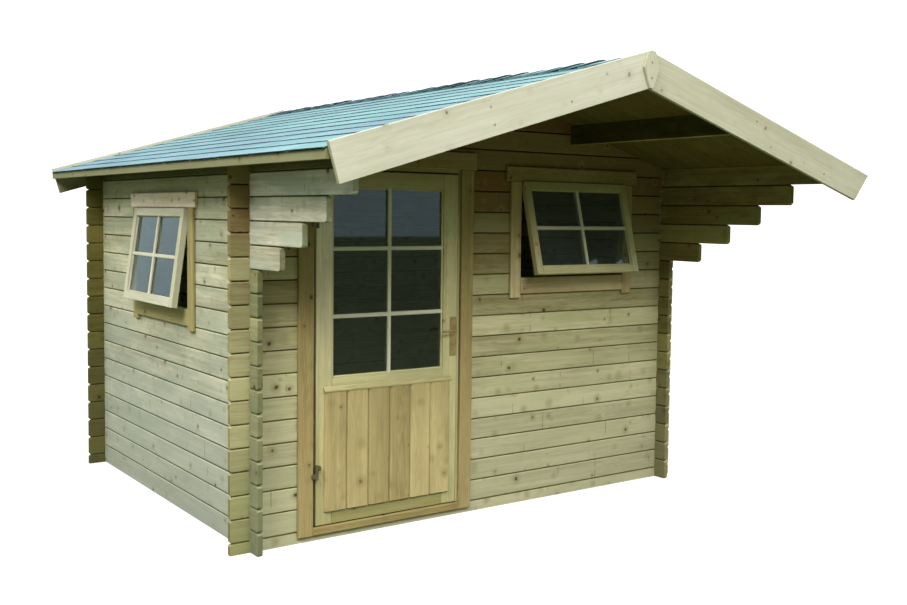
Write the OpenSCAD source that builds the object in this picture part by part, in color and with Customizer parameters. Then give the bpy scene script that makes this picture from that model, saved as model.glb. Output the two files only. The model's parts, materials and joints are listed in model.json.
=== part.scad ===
// Small log cabin with a deep gabled porch roof, a part-glazed door
// and two top-hung windows. Real size in mm, +Z up, front towards -Y.

/* [Walls] */

// Width over the side walls' outer faces, mm
cabin_width = 2784; // [2300:10:3600]
// Depth over the front and rear walls' outer faces, mm
cabin_depth = 2264; // [1800:10:3200]
// Height of one log, mm
log_height = 114; // [90:1:140]
// Thickness of a log, mm
log_thickness = 28; // [20:1:60]
// Number of logs in a side wall
side_courses = 17; // [15:1:20]
// How far front and rear logs pass the side walls, mm
end_stub = 100; // [60:1:160]
// How far side logs pass the front and rear walls, mm
side_stub = 86; // [60:1:160]
// Bevel along the long edges of a log, mm
log_bevel = 4; // [1:0.5:8]
// Corner cut at the free ends of a log, mm
end_clip = 9; // [2:0.5:20]

/* [Stepped porch logs] */

// Number of stepped logs under the porch roof, each side
step_count = 4; // [2:1:5]
// Reach of the lowest stepped log in front of the wall, mm
step_first = 320; // [150:5:500]
// Extra reach of each log above it, mm
step_reach = 217; // [80:1:260]
// Corner cut at the front of the stepped logs, mm
step_clip = 14; // [2:1:30]

/* [Roof] */

// Slope of the roof, degrees
roof_pitch = 16.6; // [12:0.1:30]
// Reach of the roof in front of the front wall, mm
porch_reach = 1220; // [900:1:1500]
// Reach of the roof behind the rear wall, mm
rear_reach = 246; // [150:1:500]
// Reach of the roof past each side wall, mm
eaves_reach = 245; // [150:1:400]
// Height of the roof boards' underside over the side wall's outer face, less the top log, mm
roof_seat = 10; // [2:1:20]
// Thickness of the roof boards, mm
deck_thickness = 18; // [12:1:30]
// Thickness of the shingle layer, mm
shingle_thickness = 5; // [3:0.5:12]
// Width of the ridge cap on each slope, mm
ridge_cap_width = 125; // [80:1:200]
// Width of a bargeboard, mm
barge_width = 163; // [100:1:220]
// Thickness of a bargeboard, mm
barge_thickness = 20; // [12:1:30]
// Rise of a bargeboard over the shingles, mm
barge_rise = 20; // [5:1:50]
// Extra length of the front right bargeboard's upper edge, mm
long_tip = 72; // [0:1:120]
// Height of the eaves board, mm
eaves_board_height = 38; // [25:1:80]
// Thickness of the eaves board, mm
eaves_board_thickness = 18; // [12:1:30]
// Width of a purlin, mm
purlin_width = 44; // [28:1:70]
// Height of a purlin, mm
purlin_height = 106; // [80:1:160]
// Distance of the side purlins from the ridge, mm
purlin_offset = 634; // [400:1:900]

/* [Door] */

// Door centre from the left wall's outer face, mm
door_centre = 774; // [700:1:1200]
// Width of the door leaf, mm
leaf_width = 850; // [700:1:1000]
// Thickness of the door leaf, mm
leaf_thickness = 40; // [30:1:50]
// Width of the door trims, mm
door_trim = 80; // [60:1:110]
// Width of the leaf's stiles and top rail, mm
leaf_stile = 90; // [50:1:110]
// Height of the glass above the threshold's top, mm
glass_sill = 744; // [500:1:900]
// Thickness of the boarded panel on the leaf's front, mm
panel_thickness = 14; // [8:1:20]
// Width of the lock plates, mm
lock_plate_width = 42; // [30:1:60]
// Opening between lock plate bore and lever neck, radial, mm
lever_clearance = 0.05; // [0.02:0.01:0.1]

/* [Windows] */

// Front window centre from the left wall's outer face, mm
front_window_centre = 2026; // [1900:1:2400]
// Side window centre from the front wall's outer face, mm
side_window_centre = 1139; // [800:1:1400]
// Width over the side trims of a window, mm
window_width = 932; // [700:1:1000]
// Width of the window trims, mm
window_trim = 72; // [50:1:100]
// How far the front sash stands open, degrees
front_sash_angle = 14.5; // [0:0.5:30]
// How far the side sash stands open, degrees
side_sash_angle = 8; // [0:0.5:30]
// Width of a sash's upright sides, mm
sash_stile = 43; // [30:1:70]
// Width of a sash's top and bottom rails, mm
sash_rail = 46; // [30:1:70]
// Thickness of the sash, mm
sash_thickness = 35; // [25:1:50]

/* [Floor] */

// Height of the floor joists, mm
joist_height = 45; // [30:1:60]
// Thickness of the floor boards, mm
floor_thickness = 18; // [15:1:28]

/* [Hidden] */

$fn = 32;

half_w = cabin_width / 2;
h = log_height;
t = log_thickness;
slope = tan(roof_pitch);
wall_top = side_courses * h;

// Height of the roof boards' underside at the ridge
under_apex = wall_top - roof_seat + half_w * slope;
deck_apex = under_apex + deck_thickness / cos(roof_pitch);
shingle_apex = deck_apex + shingle_thickness / cos(roof_pitch);
barge_apex = shingle_apex + barge_rise / cos(roof_pitch);

// Seating gap under each layer of the roof
layer_gap = 0.05;

// The whole cabin is centred on the origin: the front wall's outer face lies at front_y
// and the ridge at ridge_x, because the front right bargeboard reaches out further
front_y = (porch_reach - cabin_depth - rear_reach) / 2;
roof_front = -porch_reach;
roof_back = cabin_depth + rear_reach;
plate_thickness = 14;

// Roof boards stop inside the eaves boards, shingles hang over them
deck_half = half_w + eaves_reach - eaves_board_thickness;
shingle_half = half_w + eaves_reach + 10;
barge_half = half_w + eaves_reach - 2;
ridge_x = -max(0, barge_half + long_tip * cos(roof_pitch) - shingle_half) / 2;

// Door sizes from the left wall's outer face, shifted to the cabin's centre
door_x = door_centre - half_w;
leaf_gap = 8;
jamb_inner = leaf_width / 2 + leaf_gap;
jamb_outer = jamb_inner + 45;
door_trim_inner = jamb_inner + 12;
door_trim_outer = door_trim_inner + door_trim;
trim_thickness = 20;
threshold_bottom = h / 2;
threshold_top = threshold_bottom + 12;
door_cut_top = (side_courses - 0.5) * h;
door_head_inner = door_cut_top - 23;
leaf_bottom = threshold_top + 6;
leaf_top = door_head_inner - leaf_gap;
leaf_front = -10;
glass_bottom = threshold_top + glass_sill;
glass_top = leaf_top - leaf_stile + 10;
panel_half = leaf_width / 2 - 45;
panel_bottom = leaf_bottom + 68;
panel_top = glass_bottom - 66;
stop_y = 39;
stop_depth = 10;
pane_thickness = 6;

// Hinge line of the door, in front of the leaf's left edge
hinge_x = door_x - leaf_width / 2 - 3;
hinge_y = leaf_front - 20;
barrel_r = 7;
hinge_pin_r = 3;
hinge_bore_r = hinge_pin_r + 0.05;
barrel_half = 37;
hinge_heights = [leaf_bottom + 275, leaf_top - 250];

// Lever spindle on the right stile
spindle_x = door_x + leaf_width / 2 - lock_plate_width / 2 - 4;
spindle_z = threshold_top + 948;
neck_r = 8;
neck_bore_r = neck_r + lever_clearance;
plate_depth = 3;
lever_length = 96;

// Window sizes; heights in log courses, the side window half a course and one course lower
window_x = front_window_centre - half_w;
cut_height = 5.5 * h;
front_cut_bottom = (side_courses - 6) * h;
side_cut_bottom = (side_courses - 7.5) * h;
trim_inner = window_width / 2 - window_trim;
cut_half = trim_inner + 24;
frame_wood = 28;
sash_gap = 5;
sash_half = trim_inner - sash_gap;
sash_hang = cut_height - 59;
sash_height = sash_hang - 37;
sash_back = 2;
// The sash's top face tips up as it opens, and clears the frame and the top trim
sash_tip = tan(max(front_sash_angle, side_sash_angle));
sash_drop = 0.3 + sash_back * sash_tip;
top_trim_low = sash_hang + 1 + (trim_thickness + sash_back) * sash_tip;
glass_recess = 20;
window_frame_back = 42;

// Joins of porch logs with the roof ends
room_x = half_w - t;

function course_low(k) = max(0, (k - 0.5) * h);
function course_high(k) = (k + 0.5) * h;
function step_of(j) = j - (side_courses - 1 - step_count);
function front_reach(j) = step_of(j) < 0 ? side_stub : step_first + step_of(j) * step_reach;

// ---------- shared outlines ----------

module box(x0, x1, y0, y1, z0, z1) {
  translate([x0, y0, z0])
    cube([x1 - x0, y1 - y0, z1 - z0]);
}

// Extrudes an outline drawn in x and z along Y, from y0 to y1
module along_y(y0, y1) {
  translate([0, y1, 0])
    rotate([90, 0, 0])
      linear_extrude(y1 - y0)
        children();
}

// Extrudes an outline drawn in y and z along X, from x0 to x1
module along_x(x0, x1) {
  translate([x0, 0, 0])
    rotate([90, 0, 90])
      linear_extrude(x1 - x0)
        children();
}

module placed() {
  translate([ridge_x, front_y, 0])
    children();
}

// Section of a log: bevelled rectangle from a0 to a1, z0 to z1
module log_section(a0, a1, z0, z1, low_bevel) {
  c = low_bevel;
  d = log_bevel;
  polygon([
    [a0, z0 + c], [a0 + c, z0], [a1 - c, z0], [a1, z0 + c],
    [a1, z1 - d], [a1 - d, z1], [a0 + d, z1], [a0, z1 - d]
  ]);
}

// Outline of a log seen from the side, with cut corners at both ends
module log_outline(a0, a1, z0, z1, c0, c1) {
  polygon([
    [a0, z0 + c0], [a0 + c0, z0], [a1 - c1, z0], [a1, z0 + c1],
    [a1, z1 - min(c1, end_clip)], [a1 - min(c1, end_clip), z1],
    [a0 + end_clip, z1], [a0, z1 - end_clip]
  ]);
}

module rect(a0, a1, z0, z1) {
  translate([a0, z0])
    square([a1 - a0, z1 - z0]);
}

// Space under the roof boards
module under_roof(reach) {
  polygon([
    [-reach, 0], [reach, 0],
    [reach, under_apex - reach * slope],
    [0, under_apex],
    [-reach, under_apex - reach * slope]
  ]);
}

// ---------- walls ----------

// One course of a front or rear wall, before any opening
module end_course_outline(k) {
  z0 = course_low(k);
  z1 = course_high(k);
  if (k < side_courses) {
    difference() {
      log_outline(-half_w - end_stub, half_w + end_stub, z0, z1, k == 0 ? 0.5 : end_clip, k == 0 ? 0.5 : end_clip);
      for (s = [-1, 1]) {
        corner = s < 0 ? -half_w : half_w - t;
        rect(corner, corner + t, z1 - h / 4, z1 + 1);
        if (k > 0)
          rect(corner, corner + t, z0 - 1, z0 + h / 4);
      }
    }
  } else {
    intersection() {
      rect(-room_x, room_x, z0, min(z1, under_apex - 6));
      under_roof(room_x + 1);
    }
  }
}

module purlin_notches() {
  rect(-purlin_width / 2, purlin_width / 2, under_apex - purlin_height - 6, under_apex + 1);
  for (s = [-1, 1])
    rect(
      s * purlin_offset - purlin_width / 2, s * purlin_offset + purlin_width / 2,
      under_apex - purlin_offset * slope - purlin_height, under_apex + 1
    );
}

module end_log(k, y0) {
  z0 = course_low(k);
  z1 = course_high(k);
  reach = half_w + end_stub + 1;
  intersection() {
    along_y(y0, y0 + t)
      difference() {
        end_course_outline(k);
        if (k >= side_courses)
          purlin_notches();
        children();
      }
    along_x(-reach, reach)
      log_section(y0, y0 + t, z0, z1, k == 0 ? 0.5 : log_bevel);
  }
}

// Course numbers of the top gable log
end_top = floor((under_apex - 40) / h + 0.5);

module front_openings() {
  rect(door_x - jamb_outer, door_x + jamb_outer, threshold_bottom, door_cut_top);
  rect(window_x - cut_half, window_x + cut_half, front_cut_bottom, front_cut_bottom + cut_height);
}

module front_wall_logs(parity) {
  color("#a3a47c")
    placed()
      for (k = [parity : 2 : end_top])
        end_log(k, 0)
          front_openings();
}

module rear_wall_logs(parity) {
  color("#a3a47c")
    placed()
      for (k = [parity : 2 : end_top])
        end_log(k, cabin_depth - t);
}

// One log of a side wall, drawn for the left wall
module side_log(j) {
  z0 = j * h;
  z1 = z0 + h;
  top = j == side_courses - 1;
  y0 = top ? roof_front + barge_thickness : -front_reach(j);
  y1 = top ? roof_back - barge_thickness : cabin_depth + side_stub;
  c0 = step_of(j) < 0 ? end_clip : step_clip;
  outer_top = under_apex - half_w * slope;
  intersection() {
    along_x(-half_w, -half_w + t)
      difference() {
        if (top)
          rect(y0, y1, z0, z1);
        else
          log_outline(y0, y1, z0, z1, c0, end_clip);
        for (y = [0, cabin_depth - t]) {
          rect(y, y + t, z0 - 1, z0 + h / 4);
          if (!top)
            rect(y, y + t, z1 - h / 4, z1 + 1);
        }
        children();
      }
    along_y(y0 - 1, y1 + 1)
      if (top)
        polygon([
          [-half_w, z0 + log_bevel], [-half_w + log_bevel, z0],
          [-room_x - log_bevel, z0], [-room_x, z0 + log_bevel],
          [-room_x, outer_top + t * slope], [-half_w, outer_top]
        ]);
      else
        log_section(-half_w, -room_x, z0, z1, log_bevel);
  }
}

module left_wall_logs(parity) {
  color("#b0ad86")
    placed()
      for (j = [parity : 2 : side_courses - 1])
        side_log(j)
          rect(
            side_window_centre - cut_half, side_window_centre + cut_half,
            side_cut_bottom, side_cut_bottom + cut_height
          );
}

module right_wall_logs(parity) {
  color("#b0ad86")
    placed()
      mirror([1, 0, 0])
        for (j = [parity : 2 : side_courses - 1])
          side_log(j);
}

module front_wall_even_logs() {
  front_wall_logs(0);
}

module front_wall_odd_logs() {
  front_wall_logs(1);
}

module rear_wall_even_logs() {
  rear_wall_logs(0);
}

module rear_wall_odd_logs() {
  rear_wall_logs(1);
}

module left_wall_even_logs() {
  left_wall_logs(0);
}

module left_wall_odd_logs() {
  left_wall_logs(1);
}

module right_wall_even_logs() {
  right_wall_logs(0);
}

module right_wall_odd_logs() {
  right_wall_logs(1);
}

// ---------- roof ----------

module ridge_purlin() {
  w = purlin_width / 2;
  color("#6f6a3e")
    placed()
      along_y(roof_front + barge_thickness, roof_back - barge_thickness)
        polygon([
          [-w, under_apex - purlin_height - 6], [w, under_apex - purlin_height - 6],
          [w, under_apex - w * slope], [0, under_apex], [-w, under_apex - w * slope]
        ]);
}

module side_purlins() {
  a = purlin_offset - purlin_width / 2;
  b = purlin_offset + purlin_width / 2;
  low = under_apex - purlin_offset * slope - purlin_height;
  color("#6f6a3e")
    placed()
      for (s = [0, 1])
        mirror([s, 0, 0])
          along_y(roof_front + barge_thickness, roof_back - barge_thickness)
            polygon([[a, low], [b, low], [b, under_apex - b * slope], [a, under_apex - a * slope]]);
}

// A layer on the right slope: between x = 0 and reach, from apex height a0 up to a1
module roof_layer(reach, a0, a1) {
  along_y(roof_front + barge_thickness, roof_back - barge_thickness)
    polygon([[0, a0], [reach, a0 - reach * slope], [reach, a1 - reach * slope], [0, a1]]);
}

module right_roof_boards() {
  color("#7b7445")
    placed()
      roof_layer(deck_half, under_apex + layer_gap, deck_apex);
}

module left_roof_boards() {
  color("#7b7445")
    placed()
      mirror([1, 0, 0])
        roof_layer(deck_half, under_apex + layer_gap, deck_apex);
}

module right_shingles() {
  color("#4f9a94")
    placed()
      roof_layer(shingle_half, deck_apex + layer_gap, shingle_apex);
}

module left_shingles() {
  color("#4f9a94")
    placed()
      mirror([1, 0, 0])
        roof_layer(shingle_half, deck_apex + layer_gap, shingle_apex);
}

// Two slabs that meet over the ridge, a layer gap apart
module ridge_cap() {
  near = layer_gap / 2;
  far = ridge_cap_width * cos(roof_pitch);
  low = shingle_apex + layer_gap;
  cap = shingle_apex + 4;
  color("#4f9a94")
    placed()
      for (side = [-1, 1])
        along_y(roof_front + barge_thickness, roof_back - barge_thickness)
          polygon([
            [side * near, low - near * slope], [side * far, low - far * slope],
            [side * far, cap - far * slope], [side * near, cap - near * slope]
          ]);
}

// Right-hand board of a gable end; its upper edge is longer than a square cut by tip
module bargeboard(y0, tip) {
  x = barge_half;
  far = x + tip * cos(roof_pitch);
  dx = barge_width * sin(roof_pitch);
  dz = barge_width * cos(roof_pitch);
  along_y(y0, y0 + barge_thickness)
    polygon([
      [0, barge_apex - barge_width / cos(roof_pitch)],
      [x - dx, barge_apex - x * slope - dz],
      [far, barge_apex - far * slope],
      [0, barge_apex]
    ]);
}

module front_right_bargeboard() {
  color("#c3c092")
    placed()
      bargeboard(roof_front, long_tip);
}

module front_left_bargeboard() {
  color("#c3c092")
    placed()
      mirror([1, 0, 0])
        bargeboard(roof_front, 0);
}

module rear_right_bargeboard() {
  color("#c3c092")
    placed()
      bargeboard(roof_back - barge_thickness, 0);
}

module rear_left_bargeboard() {
  color("#c3c092")
    placed()
      mirror([1, 0, 0])
        bargeboard(roof_back - barge_thickness, 0);
}

module apex_plates() {
  top = barge_apex;
  low = barge_apex - barge_width / cos(roof_pitch);
  wide = 48;
  narrow = 24;
  foot = 9;
  middle = (top + low) / 2 + 8;
  color("#c9c597")
    placed()
      for (y = [roof_front - plate_thickness, roof_back])
        along_y(y, y + plate_thickness)
          polygon([
            [-foot, low], [foot, low], [wide, middle], [narrow, top - narrow * slope], [0, top],
            [-narrow, top - narrow * slope], [-wide, middle]
          ]);
}

module eaves_boards() {
  a = deck_half;
  b = half_w + eaves_reach;
  low = deck_apex - b * slope - eaves_board_height;
  color("#bdb88a")
    placed()
      for (s = [0, 1])
        mirror([s, 0, 0])
          along_y(roof_front + barge_thickness, roof_back - barge_thickness)
            polygon([[a, low], [b, low], [b, deck_apex - b * slope], [a, deck_apex - a * slope]]);
}

// ---------- door ----------

module door_frame() {
  color("#9a8a52")
    placed()
      difference() {
        box(door_x - jamb_outer, door_x + jamb_outer, 0, 60, threshold_top, door_cut_top);
        box(door_x - jamb_inner, door_x + jamb_inner, -1, stop_y, threshold_top - 1, door_head_inner);
        box(
          door_x - jamb_inner + stop_depth, door_x + jamb_inner - stop_depth,
          stop_y - 1, 61, threshold_top - 1, door_head_inner - stop_depth
        );
      }
}

module door_threshold() {
  color("#8e7f4a")
    placed() {
      box(door_x - jamb_outer, door_x + jamb_outer, 0, 60, threshold_bottom, threshold_top);
      box(door_x - door_trim_inner, door_x + door_trim_inner, -trim_thickness, 0, 30, threshold_top);
    }
}

module door_side_trims() {
  color("#94733f")
    placed()
      for (s = [-1, 1]) {
        x0 = s < 0 ? -door_trim_outer : door_trim_inner;
        box(door_x + x0, door_x + x0 + door_trim, -trim_thickness, 0, 30, door_cut_top - 4);
      }
}

module door_top_trim() {
  color("#8a6b38")
    placed()
      box(
        door_x - door_trim_outer - 18, door_x + door_trim_outer + 18,
        -trim_thickness, 0, door_cut_top - 4, door_cut_top + 90
      );
}

// Stiles and rails of the leaf, open for the glass and the boarded panel
module door_leaf() {
  x0 = door_x - leaf_width / 2;
  x1 = door_x + leaf_width / 2;
  back = leaf_front + leaf_thickness;
  color("#a99a5c")
    placed()
      difference() {
        box(x0, x1, leaf_front, back, leaf_bottom, leaf_top);
        box(x0 + leaf_stile, x1 - leaf_stile, leaf_front - 1, back + 1, glass_bottom, glass_top);
        box(x0 + leaf_stile, x1 - leaf_stile, leaf_front - 1, back + 1, panel_bottom + 40, panel_top - 10);
        translate([spindle_x, leaf_front - 1, spindle_z])
          rotate([-90, 0, 0])
            cylinder(r = neck_r + 2, h = leaf_thickness + 2);
      }
}

module door_panel() {
  color("#b3a263")
    placed()
      box(
        door_x - panel_half, door_x + panel_half,
        leaf_front - panel_thickness, leaf_front, panel_bottom, panel_top
      );
}

module door_glass() {
  color("#4b5a58")
    placed()
      box(
        door_x - leaf_width / 2 + leaf_stile, door_x + leaf_width / 2 - leaf_stile,
        leaf_front + 17, leaf_front + 17 + pane_thickness, glass_bottom, glass_top
      );
}

module door_lock_plates() {
  color("#7a5f35")
    placed()
      for (y = [leaf_front - plate_depth, leaf_front + leaf_thickness])
        difference() {
          box(
            spindle_x - lock_plate_width / 2, spindle_x + lock_plate_width / 2,
            y, y + plate_depth, spindle_z - 140, spindle_z + 72
          );
          translate([spindle_x, y - 1, spindle_z])
            rotate([-90, 0, 0])
              cylinder(r = neck_bore_r, h = plate_depth + 2);
        }
}

// Levers on both faces, one piece with the square spindle between them
module door_lever() {
  front = leaf_front - plate_depth;
  back = leaf_front + leaf_thickness + plate_depth;
  color("#8b7040")
    placed() {
      translate([spindle_x, front - 46, spindle_z])
        rotate([-90, 0, 0])
          cylinder(r = neck_r, h = back - front + 92);
      for (y = [front - 38, back + 38])
        translate([spindle_x - lever_length, y, spindle_z])
          rotate([0, 90, 0])
            cylinder(r = 6.5, h = lever_length);
    }
}

// Upper barrels, on the leaf
module door_leaf_hinges() {
  color("#3b372f")
    placed()
      for (z = hinge_heights)
        difference() {
          union() {
            translate([hinge_x, hinge_y, z + 0.5])
              cylinder(r = barrel_r, h = barrel_half);
            box(hinge_x + 1, hinge_x + 22, hinge_y, leaf_front, z + 8, z + 30);
          }
          translate([hinge_x, hinge_y, z])
            cylinder(r = hinge_bore_r, h = barrel_half - 4);
        }
}

// Lower barrels with their pins, on the trim
module door_frame_hinges() {
  color("#3b372f")
    placed()
      for (z = hinge_heights) {
        translate([hinge_x, hinge_y, z - barrel_half])
          cylinder(r = barrel_r, h = barrel_half);
        translate([hinge_x, hinge_y, z - 1])
          cylinder(r = hinge_pin_r, h = barrel_half - 6);
        box(hinge_x - 27, hinge_x - 1, hinge_y, -trim_thickness, z - 30, z - 8);
      }
}

// ---------- windows ----------
// Drawn with the wall's outer face at y = 0, the opening's centre at x = 0
// and its lower edge at z = 0, then set on the front or the left wall.

module on_front() {
  placed()
    translate([window_x, 0, front_cut_bottom])
      children();
}

module on_left() {
  placed()
    translate([-half_w, side_window_centre, side_cut_bottom])
      rotate([0, 0, -90])
        children();
}

module window_frame() {
  color("#9a9560")
    difference() {
      box(-cut_half, cut_half, 0, window_frame_back, 0, cut_height);
      box(-trim_inner, trim_inner, -1, window_frame_back + 1, frame_wood, sash_hang);
    }
}

module window_side_trims() {
  color("#a0874f")
    for (s = [-1, 1]) {
      x0 = s < 0 ? -window_width / 2 : trim_inner;
      box(x0, x0 + window_trim, -trim_thickness, 0, -80, top_trim_low);
    }
}

module window_cross_trims() {
  color("#8f7443")
    union() {
      box(-window_width / 2 - 35, window_width / 2 + 35, -trim_thickness, 0, top_trim_low, cut_height + 30);
      box(-trim_inner, trim_inner, -trim_thickness, 0, -57, frame_wood + 7);
    }
}

// Turns a piece drawn closed, its back at y = 0, about the sash's top back edge
module hung(angle) {
  translate([0, sash_back, sash_hang - sash_drop])
    rotate([-angle, 0, 0])
      children();
}

module window_sash(angle) {
  w = sash_half - sash_stile;
  color("#aaa873")
    hung(angle)
      difference() {
        box(-sash_half, sash_half, -sash_thickness, 0, -sash_height, 0);
        box(-w, w, -sash_thickness - 1, 1, -sash_height + sash_rail, -sash_rail);
      }
}

module window_glass(angle) {
  w = sash_half - sash_stile;
  color("#4b5a58")
    hung(angle)
      translate([0, glass_recess - sash_thickness, 0])
        box(-w, w, 0, pane_thickness, -sash_height + sash_rail, -sash_rail);
}

module front_window_frame() {
  on_front()
    window_frame();
}

module front_window_side_trims() {
  on_front()
    window_side_trims();
}

module front_window_cross_trims() {
  on_front()
    window_cross_trims();
}

module front_window_sash() {
  on_front()
    window_sash(front_sash_angle);
}

module front_window_glass() {
  on_front()
    window_glass(front_sash_angle);
}

module side_window_frame() {
  on_left()
    window_frame();
}

module side_window_side_trims() {
  on_left()
    window_side_trims();
}

module side_window_cross_trims() {
  on_left()
    window_cross_trims();
}

module side_window_sash() {
  on_left()
    window_sash(side_sash_angle);
}

module side_window_glass() {
  on_left()
    window_glass(side_sash_angle);
}

// ---------- floor ----------

module floor_joists() {
  joist = 45;
  count = 6;
  pitch = (2 * room_x - joist) / (count - 1);
  color("#8c8655")
    placed()
      for (i = [0 : count - 1])
        box(-room_x + i * pitch, -room_x + i * pitch + joist, t + 5, cabin_depth - t - 5, 0, joist_height);
}

module floor_boards() {
  color("#a29a68")
    placed()
      box(
        -room_x + 5, room_x - 5, t + 38, cabin_depth - t - 5,
        joist_height, joist_height + floor_thickness
      );
}

front_wall_even_logs();
front_wall_odd_logs();
rear_wall_even_logs();
rear_wall_odd_logs();
left_wall_even_logs();
left_wall_odd_logs();
right_wall_even_logs();
right_wall_odd_logs();
ridge_purlin();
side_purlins();
left_roof_boards();
right_roof_boards();
left_shingles();
right_shingles();
ridge_cap();
front_left_bargeboard();
front_right_bargeboard();
rear_left_bargeboard();
rear_right_bargeboard();
apex_plates();
eaves_boards();
door_frame();
door_threshold();
door_side_trims();
door_top_trim();
door_leaf();
door_panel();
door_glass();
door_lock_plates();
door_lever();
door_leaf_hinges();
door_frame_hinges();
front_window_frame();
front_window_side_trims();
front_window_cross_trims();
front_window_sash();
front_window_glass();
side_window_frame();
side_window_side_trims();
side_window_cross_trims();
side_window_sash();
side_window_glass();
floor_joists();
floor_boards();
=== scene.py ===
import json
import math
import random

import bmesh
import bpy
from mathutils import Matrix, Vector


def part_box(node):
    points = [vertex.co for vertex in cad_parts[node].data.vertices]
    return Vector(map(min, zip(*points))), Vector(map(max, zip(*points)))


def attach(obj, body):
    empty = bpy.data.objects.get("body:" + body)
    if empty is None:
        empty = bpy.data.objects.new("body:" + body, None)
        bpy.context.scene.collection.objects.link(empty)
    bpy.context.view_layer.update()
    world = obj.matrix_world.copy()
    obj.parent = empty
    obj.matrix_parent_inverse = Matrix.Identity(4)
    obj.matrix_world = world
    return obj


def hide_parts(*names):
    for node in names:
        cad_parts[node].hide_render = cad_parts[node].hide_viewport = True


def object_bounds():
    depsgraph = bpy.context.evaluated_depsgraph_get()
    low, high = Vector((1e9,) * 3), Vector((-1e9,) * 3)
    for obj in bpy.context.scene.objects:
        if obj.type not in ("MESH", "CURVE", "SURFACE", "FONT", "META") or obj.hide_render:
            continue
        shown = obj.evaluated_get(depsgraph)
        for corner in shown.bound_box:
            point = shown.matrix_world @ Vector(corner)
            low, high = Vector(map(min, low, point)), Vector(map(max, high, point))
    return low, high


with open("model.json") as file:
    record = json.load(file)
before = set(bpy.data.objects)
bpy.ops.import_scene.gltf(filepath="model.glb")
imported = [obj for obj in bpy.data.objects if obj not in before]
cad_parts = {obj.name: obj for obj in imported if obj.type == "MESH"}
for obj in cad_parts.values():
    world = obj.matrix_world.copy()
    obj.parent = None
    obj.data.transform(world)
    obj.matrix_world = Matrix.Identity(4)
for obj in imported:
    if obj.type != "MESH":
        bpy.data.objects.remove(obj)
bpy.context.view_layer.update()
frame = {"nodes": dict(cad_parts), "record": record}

RECORD = frame["record"]
NODES = frame["nodes"]
BODY_OF = {n: b for b, members in RECORD["behaviour"]["bodies"].items() for n in members}
SLOT_OF = {s["node"]: s["material_slot"] for s in RECORD["subparts"]}

X, Y, Z = Vector((1, 0, 0)), Vector((0, 1, 0)), Vector((0, 0, 1))
# Grain direction of a timber, then the direction of its width
ALONG_X, ALONG_Y = (X, Z), (Y, Z)
UP_X, UP_Y = (Z, X), (Z, Y)

# ---------- shader helpers ----------


def srgb(r, g, b):
    """An 8-bit screen colour, no channel under 11, as linear RGBA."""
    return tuple(((c / 255 + 0.055) / 1.055) ** 2.4 for c in (r, g, b)) + (1,)


class Graph:
    """The emptied node tree of a new material or world, written as nested calls."""

    def __init__(self, owner):
        owner.use_nodes = True
        self.owner = owner
        self.tree = owner.node_tree
        self.tree.nodes.clear()

    def feed(self, socket, value):
        if isinstance(value, bpy.types.NodeSocket):
            self.tree.links.new(value, socket)
        elif value is not None:
            socket.default_value = value

    def node(self, kind, inputs=None, **settings):
        n = self.tree.nodes.new("ShaderNode" + kind)
        for key, value in settings.items():
            setattr(n, key, value)
        for key, value in (inputs or {}).items():
            self.feed(n.inputs[key], value)
        return n

    def math(self, operation, *values, clamp=False):
        n = self.node("Math", operation=operation, use_clamp=clamp)
        for socket, value in zip(n.inputs, values):
            self.feed(socket, value)
        return n.outputs[0]

    def mix(self, factor, a, b, blend="MIX"):
        n = self.node("Mix", {0: factor, 6: a, 7: b}, data_type="RGBA", blend_type=blend)
        return n.outputs[2]

    def fade(self, value, low, high):
        """0 below low, 1 above high, smooth between."""
        n = self.node("MapRange", {"Value": value, "From Min": low, "From Max": high},
                      interpolation_type="SMOOTHSTEP")
        return n.outputs["Result"]

    def ramp(self, value, low, high, **settings):
        """low where value is 0, high where it is 1, straight between."""
        n = self.node("MapRange", {"Value": value, "To Min": low, "To Max": high}, **settings)
        return n.outputs["Result"]

    def inverse(self, value):
        return self.math("SUBTRACT", 1.0, value)

    def attribute(self, name, output):
        return self.node("Attribute", attribute_name=name).outputs[output]

    def stretch(self, vector, factors):
        return self.node("VectorMath", {0: vector, 1: factors}, operation="MULTIPLY").outputs[0]

    def noise(self, vector, scale=1.0, detail=3.0, roughness=0.55, output=0):
        inputs = {"Vector": vector, "Scale": scale, "Detail": detail, "Roughness": roughness}
        return self.node("TexNoise", inputs).outputs[output]

    def part(self, vector, axis):
        return self.node("SeparateXYZ", {0: vector}).outputs[axis]

    def channel(self, colour, index):
        return self.node("SeparateColor", {0: colour}).outputs[index]

    def place(self):
        return self.node("TexCoord").outputs["Object"]

    def total(self, *pairs):
        """0.5 plus the sum of weight * (value - 0.5), clamped to 0..1."""
        out = 0.5
        for value, weight in pairs:
            out = self.math("MULTIPLY_ADD", self.math("SUBTRACT", value, 0.5), weight, out)
        return self.math("ADD", out, 0.0, clamp=True)

    def bump(self, height, strength, distance):
        n = self.node("Bump", {"Strength": strength, "Distance": distance, "Height": height})
        return n.outputs["Normal"]

    def in_sight(self):
        """1 where a ray comes from the camera, straight or through glass, without a reflection."""
        ray = self.node("LightPath").outputs
        bounces = self.math("ADD", ray["Diffuse Depth"], ray["Glossy Depth"])
        through = self.math("SUBTRACT", ray["Is Transmission Ray"], bounces, clamp=True)
        return self.math("MAXIMUM", ray["Is Camera Ray"], through)

    def surface(self, **inputs):
        """Ends the graph in a Principled shader with those inputs."""
        named = {key.replace("_", " "): value for key, value in inputs.items()}
        shader = self.node("BsdfPrincipled", named)
        self.node("OutputMaterial", {"Surface": shader.outputs[0]})
        return self.owner


# ---------- materials ----------


def new_material(name):
    return Graph(bpy.data.materials.new(name))


# Spaces per metre of the finger joints along a timber, and of the cells that hold a knot
JOINT_RATE, KNOT_RATE = 1.9, 10.5
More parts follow.
